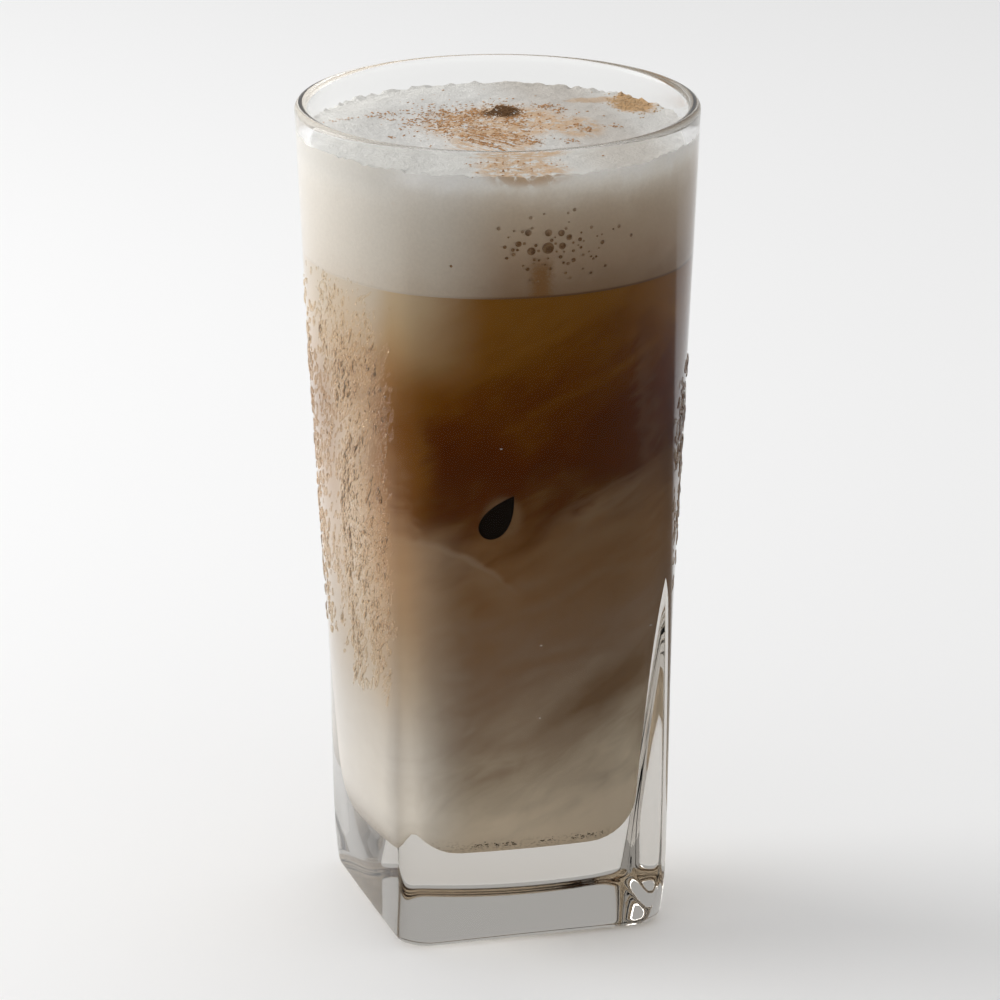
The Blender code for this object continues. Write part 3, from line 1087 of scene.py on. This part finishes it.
def make_milk(look):
    directions = angles()
    rings = []
    for height in rounded_heights(FLOOR, FLOOR_EDGE, ROUND_RINGS):
        ring = level_ring(inside, height, directions, BITE)
        rings.append([(x, y, z - BITE) for x, y, z in ring])
    starts = [FLOOR + FLOOR_EDGE - BITE] * len(directions)
    tops = column_heights(milk_height, MILK_LEVEL, directions)
    rings += wall_rings(starts, tops, FILLING_RINGS, directions)[1:]
    rings += cap_rings(rings[-1], milk_height, ROUND_RINGS)
    skin = closed_skin(rings, (0, 0, FLOOR - BITE), (0, 0, milk_height(0, 0)))
    return new_object("swirled-milk", *skin, look)


def make_coffee(look):
    directions = angles()
    bottoms = [low + SEAM for low in column_heights(milk_height, MILK_LEVEL, directions)]
    tops = [CREAM_FOOT] * len(directions)
    side = wall_rings(bottoms, tops, FILLING_RINGS // 2, directions)
    under = cap_rings(side[0], lambda x, y: milk_height(x, y) + SEAM, ROUND_RINGS)
    rings = under[::-1] + side
    skin = closed_skin(rings, (0, 0, milk_height(0, 0) + SEAM), (0, 0, CREAM_FOOT))
    return new_object("dark-coffee", *skin, look)


def make_cream(look, bubble):
    directions = angles(CREAM_STEPS)
    tops = column_heights(cream_surface, CREAM_LEVEL, directions)
    foot = CREAM_FOOT + SEAM
    side = wall_rings([foot] * len(directions), tops, CREAM_SIDE_RINGS, directions)
    rings = side + cap_rings(side[-1], cream_surface, CREAM_TOP_RINGS)
    skin = closed_skin(rings, (0, 0, foot), (0, 0, cream_surface(0, 0)))
    cream = new_object("salted-cream", *skin, look)
    cream.data.materials.append(bubble)
    cut_bubbles(cream, bubble)
    return cream


def bubble_list():
    """The bubbles above and, round the largest, small ones that keep clear of them."""
    draw = random.Random(BUBBLE_SEED)
    found = list(BUBBLES)
    middle_x, middle_height, _ = BUBBLES[0]
    right, up = BUBBLE_DRIFT
    lowest, highest = BUBBLE_HEIGHTS
    while len(found) < len(BUBBLES) + SMALL_BUBBLES:
        x = middle_x + draw.gauss(right, BUBBLE_SPREAD.x)
        height = middle_height + draw.gauss(up, BUBBLE_SPREAD.y)
        radius = draw.uniform(*SMALL_BUBBLE_SIZE)
        clear = all(hypot(x - a, height - b) > radius + c + BUBBLE_GAP for a, b, c in found)
        if clear and lowest < height < highest:
            found.append((x, height, radius))
    return found


def cut_bubbles(cream, look):
    """Cuts each bubble out of the side of the cream as a round pit."""
    bm = bmesh.new()
    for x, height, radius in bubble_list():
        place = front_wall(x, height)
        place -= outwards_from(place) * (radius * BUBBLE_DEPTH - BITE)
        whole = radius * sqrt(1 + BUBBLE_DEPTH**2)
        move = Matrix.Translation(place)
        bmesh.ops.create_icosphere(bm, subdivisions=3, radius=whole, matrix=move)
    cutter = object_from_balls("bubbles", bm, look)
    cut = cream.modifiers.new("bubbles", "BOOLEAN")
    cut.operation = "DIFFERENCE"
    cut.solver = "EXACT"
    cut.material_mode = "TRANSFER"
    cut.object = cutter
    bpy.context.view_layer.update()
    graph = bpy.context.evaluated_depsgraph_get()
    made = bpy.data.meshes.new_from_object(cream.evaluated_get(graph), depsgraph=graph)
    cream.modifiers.clear()
    cream.data = made
    bpy.data.objects.remove(cutter)


# Loose things on the cream, in the drink and on the glass


def flake_places():
    """Places of the larger cocoa flakes, the same as in the solid."""
    draw = random.Random(DUST_SEED)
    found = [CLUMP_PLACE]
    while len(found) < FLAKE_COUNT:
        offset = Vector((draw.gauss(0, DUST_SPREAD.x), draw.gauss(0, DUST_SPREAD.y)))
        place = DUST_CENTRE + offset
        near = min((place - other).length for other in found)
        if near > FLAKE_SPACING and place.length < DUST_REACH:
            found.append(place)
    return found


def grain_places():
    """Places of the cocoa grains: in clouds, and along thin curved streaks."""
    draw = random.Random(DUST_SEED + 2)
    found = []
    for (x, y), (wide, deep), count in DUST_CLOUDS:
        for _ in range(count):
            found.append(Vector((draw.gauss(x, wide), draw.gauss(y, deep))))
    first, middle, last = STREAK_PLACES
    for line in range(STREAK_COUNT):
        bend = middle + Vector((draw.gauss(0, STREAK_STRAY), draw.gauss(0, STREAK_STRAY)))
        start, end = draw.uniform(*STREAK_STARTS), draw.uniform(*STREAK_ENDS)
        for _ in range(STREAK_GRAINS):
            t = draw.uniform(start, end)
            place = first * (1 - t) ** 2 + bend * 2 * t * (1 - t) + last * t**2
            place = place + STREAK_STEP * line
            found.append(place + Vector((draw.gauss(0, STREAK_WIDTH), draw.gauss(0, STREAK_WIDTH))))
    return [place for place in found if place.length < inside(atan2(place.y, place.x), CREAM_LEVEL)]


def add_grain(points, faces, middle, size, draw):
    """An irregular flat grain with eight faces."""
    turn = draw.uniform(0, pi)
    along = Vector((cos(turn), sin(turn), 0))
    across = Vector((-sin(turn), cos(turn), 0))
    up = Vector((0, 0, 1))
    first = len(points)
    for axis, share in zip((along, across, up), GRAIN_SHARES):
        for sign in (1, -1):
            points.append(middle + axis * sign * size * share * draw.uniform(*GRAIN_UNEVENNESS))
    for a in (0, 1):
        for b in (2, 3):
            for c in (4, 5):
                corner = (first + a, first + b, first + c)
                faces.append(corner if (a + b + c) % 2 == 0 else corner[::-1])


def on_cream(place, size):
    """A point on the cream, raised so that a grain of this size lies half sunk in it."""
    height = cream_surface(place.x, place.y) + size * GRAIN_LIFT
    return Vector((place.x, place.y, height))


def make_cocoa(look):
    """The grains, and the crumbs that break up each larger flake."""
    draw = random.Random(DUST_SEED + 3)
    points, faces = [], []
    for place in grain_places():
        size = GRAIN_SIZE * draw.uniform(*GRAIN_SIZES) ** GRAIN_SIZE_POWER
        add_grain(points, faces, on_cream(place, size), size, draw)
    sizes = random.Random(DUST_SEED + 1)
    for place in flake_places():
        clump = place == CLUMP_PLACE
        size = CLUMP_SIZE if clump else FLAKE_SIZE * sizes.uniform(*FLAKE_SIZES)
        # The solid's flakes draw a turn here, which the crumbs don't need
        sizes.uniform(0, pi)
        for _ in range(FLAKE_CRUMBS):
            offset = Vector([draw.gauss(0, size / share) for share in CRUMB_SCATTER])
            crumb = size * draw.uniform(*CRUMB_SIZES)
            add_grain(points, faces, on_cream(place + offset, crumb), crumb, draw)
    return new_object("cocoa-grains", points, faces, look)


def make_crema_bubbles(look):
    """Small domes of froth in the crema."""
    draw = random.Random(BUBBLE_SEED + 1)
    bm = bmesh.new()
    for _ in range(CREMA_BUBBLES):
        offset = Vector((draw.gauss(0, CREMA_SIZE.x / 2), draw.gauss(0, CREMA_SIZE.y / 2)))
        place = CREMA_PLACE + offset
        radius = draw.uniform(*CREMA_BUBBLE_SIZE)
        if place.length > inside(atan2(place.y, place.x), CREAM_LEVEL) - radius:
            continue
        height = cream_surface(place.x, place.y) - radius * CREMA_BUBBLE_SINK
        move = Matrix.Translation((place.x, place.y, height))
        bmesh.ops.create_icosphere(bm, subdivisions=2, radius=radius, matrix=move)
    return object_from_balls("crema-froth", bm, look)


def make_drop(look):
    """The dark hole: a teardrop of coffee against the wall, round below and pointed above."""
    rings = []
    for row in range(DROP_RINGS + 1):
        part = row / DROP_RINGS
        shrink = cos(part * pi / 2 * DROP_SHRINK)
        sunk = DROP_DEPTH * sin(part * pi / 2)
        ring = []
        for k in range(DROP_POINTS):
            turn = 2 * pi * (DROP_POINTS - k) / DROP_POINTS
            along = cos(turn) * DROP_LENGTH / 2 * shrink
            taper = sin(turn / 2) ** DROP_TAPER
            across = sin(turn) * taper * DROP_WIDTH / 2 * DROP_SWELL * shrink
            x = DROP_PLACE.x + along * sin(DROP_TURN) + across * cos(DROP_TURN)
            height = DROP_PLACE.z + along * cos(DROP_TURN) - across * sin(DROP_TURN)
            wall = front_wall(x, height)
            ring.append(wall + outwards_from(wall) * (DROP_BITE - sunk))
        rings.append(ring)
    front = front_wall(DROP_PLACE.x, DROP_PLACE.z)
    outwards = outwards_from(front)
    skin = closed_skin(rings, front + outwards * DROP_FRONT, front - outwards * DROP_BACK)
    return new_object("dark-hole", *skin, look)


def wall_grain(points, faces, x, height, size, draw):
    """A grain or tiny bubble that rests against the inner wall, at the front."""
    wall = front_wall(x, height)
    add_grain(points, faces, wall + outwards_from(wall) * 2 * BITE, size, draw)


def make_pale_specks(look):
    draw = random.Random(DUST_SEED + 5)
    points, faces = [], []
    for x, height in PALE_SPECKS:
        for _ in range(PALE_SPECK_GRAINS):
            size = PALE_SPECK_SIZE * draw.uniform(*PALE_SPECK_SIZES)
            wall_grain(points, faces, x, height, size, draw)
    return new_object("pale-specks", points, faces, look)


def make_sediment(look):
    draw = random.Random(DUST_SEED + 6)
    points, faces = [], []
    for middle, half, count in SEDIMENT_RUNS:
        for _ in range(count):
            x = middle + draw.uniform(-half, half)
            height = SEDIMENT_HEIGHT + abs(x) * SEDIMENT_SLOPE + draw.gauss(0, SEDIMENT_STRAY)
            size = SEDIMENT_SIZE * draw.uniform(*SEDIMENT_SIZES)
            wall_grain(points, faces, x, height, size, draw)
    return new_object("sediment", points, faces, look)


def apart(angle, height, other):
    """Distance between two drops, which may lie closer above each other than side by side."""
    across = (angle - other[0]) * WALL_REACH
    return hypot(across, (height - other[1]) / DEW_GAP_TALLNESS)


def dew_on(side, count, span, heights, size, draw):
    """Angle, height and size of each drop of a field."""
    low, high = heights
    found = []
    while len(found) < count:
        angle = side + draw.uniform(*span)
        height = draw.uniform(*heights)
        place = (angle * DEW_PATCH_TURNS, height * DEW_PATCH_HEIGHTS, side)
        patch = noise.noise(Vector(place))
        edge = min((height - low) / DEW_LOW_EDGE, (high - height) / DEW_HIGH_EDGE, 1)
        if draw.random() > edge * (DEW_THICKNESS + patch):
            continue
        if all(apart(angle, height, other) > size * DEW_GAP for other in found):
            found.append((angle, height, size * draw.uniform(*DEW_SIZES)))
    return found


def add_dew(points, faces, angle, height, size, draw):
    """A low drop with a wavy outline that clings to the outer face, its foot sunk in the glass."""
    stretch = draw.uniform(*DEW_STRETCH)
    lean = draw.uniform(*DEW_LEAN)
    waves = []
    for count in DEW_WAVES:
        waves.append((count, draw.uniform(0, 2 * pi), draw.uniform(*DEW_WAVE_DEPTH)))
    rise = size * draw.uniform(*DEW_RISE)
    radius = outside(angle, height)
    shoulder, shoulder_rise = DEW_SHOULDER
    levels = ((1.0, -DEW_SINK), (shoulder, rise * shoulder_rise), (DEW_TOP, rise))
    rings = []
    for share, level in levels:
        ring = []
        for k in range(DEW_POINTS):
            turn = 2 * pi * k / DEW_POINTS
            wavy = 1 + sum(depth * sin(n * turn + start) for n, start, depth in waves)
            wide = size * wavy * share * cos(turn)
            tall = size * wavy * share * sin(turn) * stretch
            here = angle + (wide + tall * lean * DEW_LEANING) / radius
            up = height + tall
            far = outside(here, up) + level
            ring.append(Vector((far * cos(here), far * sin(here), up)))
        rings.append(ring)
    flat = Vector((cos(angle), sin(angle), 0))
    middle = Vector((0, 0, height))
    foot = flat * (radius - DEW_SINK) + middle
    tip = flat * (radius + rise * DEW_TIP) + middle
    more, skin = closed_skin(rings, foot, tip)
    first = len(points)
    points.extend(more)
    faces.extend(tuple(first + k for k in face) for face in skin)


def make_dew(look):
    draw = random.Random(DEW_SEED)
    drops = []
    for side, count, span, heights, share in DEW_FIELDS:
        drops += dew_on(side, count, span, heights, DEW_SIZE * share, draw)
    points, faces = [], []
    for angle, height, size in drops:
        add_dew(points, faces, angle, height, size, draw)
    return new_object("dew", points, faces, look)


# Camera, light and floor


def make_camera():
    camera = bpy.data.cameras.new("camera")
    camera.lens = LENS
    camera.sensor_width = 36
    camera.clip_start = 0.05
    camera.clip_end = 20
    obj = in_scene("camera", camera)
    level = Vector((sin(AZIMUTH), -cos(AZIMUTH), 0))
    back = level * cos(ELEVATION) + Vector((0, 0, sin(ELEVATION)))
    rotation = back.to_track_quat("Z", "Y").to_matrix()
    up = rotation @ Vector((0, 1, 0))
    right = rotation @ Vector((1, 0, 0))
    start = Vector((0, 0, AIM_HEIGHT)) + back * DISTANCE
    aim = Vector((0, 0, AIM_HEIGHT)) + up * AIM_UP + right * AIM_RIGHT
    obj.matrix_world = Matrix.LocRotScale(start, (start - aim).to_track_quat("Z", "Y"), None)
    bpy.context.scene.camera = obj


def make_lamp(name, place, size, power):
    """A soft rectangular light that faces the glass."""
    lamp = bpy.data.lights.new(name, "AREA")
    lamp.shape = "RECTANGLE"
    lamp.size, lamp.size_y = size
    lamp.energy = power
    obj = in_scene(name, lamp)
    obj.location = place
    obj.rotation_mode = "QUATERNION"
    obj.rotation_quaternion = (Vector(place) - Vector(LAMP_AIM)).to_track_quat("Z", "Y")


def make_surroundings():
    world = bpy.data.worlds.new("studio")
    world.use_nodes = True
    backdrop = world.node_tree.nodes["Background"]
    backdrop.inputs["Color"].default_value = (1.0, 1.0, 1.0, 1)
    backdrop.inputs["Strength"].default_value = 0.55
    bpy.context.scene.world = world
    for name, place, size, power in LAMPS:
        make_lamp(name, place, size, power)
    corners = ((-1, -1), (1, -1), (1, 1), (-1, 1))
    points = [(x * FLOOR_HALF, y * FLOOR_HALF, -FOOT_GAP) for x, y in corners]
    floor = new_object("floor", points, [(0, 1, 2, 3)], floor_look())


def main():
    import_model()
    bpy.context.scene.view_settings.view_transform = "Standard"
    clear = clear_look(
        "clear-glass", GLASS_INDEX, GLASS_TINT, GLASS_GLARE, depth_tint=GLASS_DEPTH_TINT
    )
    glass = make_glass(clear)
    milk = make_milk(drink_look("milk"))
    coffee = make_coffee(drink_look("coffee"))
    cream = make_cream(cream_look(), bubble_look())
    cocoa = make_cocoa(cocoa_look())
    froth = make_crema_bubbles(plain_look("crema"))
    drop = make_drop(plain_look("black-coffee"))
    specks = make_pale_specks(plain_look("pale-speck"))
    sediment = make_sediment(plain_look("sediment"))
    dew = make_dew(clear_look("dew", DEW_INDEX, DEW_TINT, DEW_GLARE, clarity=DEW_CLARITY))
    pieces = [
        (glass, "clear_glass", "glass"),
        (milk, "milk", "milk_layer"),
        (coffee, "coffee", "coffee_layer"),
        (cream, "cream", "cream_foam"),
        (cocoa, "cream", None),
        (froth, "cream", None),
        (drop, "coffee", None),
        (specks, "milk", None),
        (sediment, "coffee", None),
        (dew, "clear_glass", None),
    ]
    for piece, slot, node in pieces:
        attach(piece, "root")
        if node:
            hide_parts(node)
    make_surroundings()
    make_camera()


main()
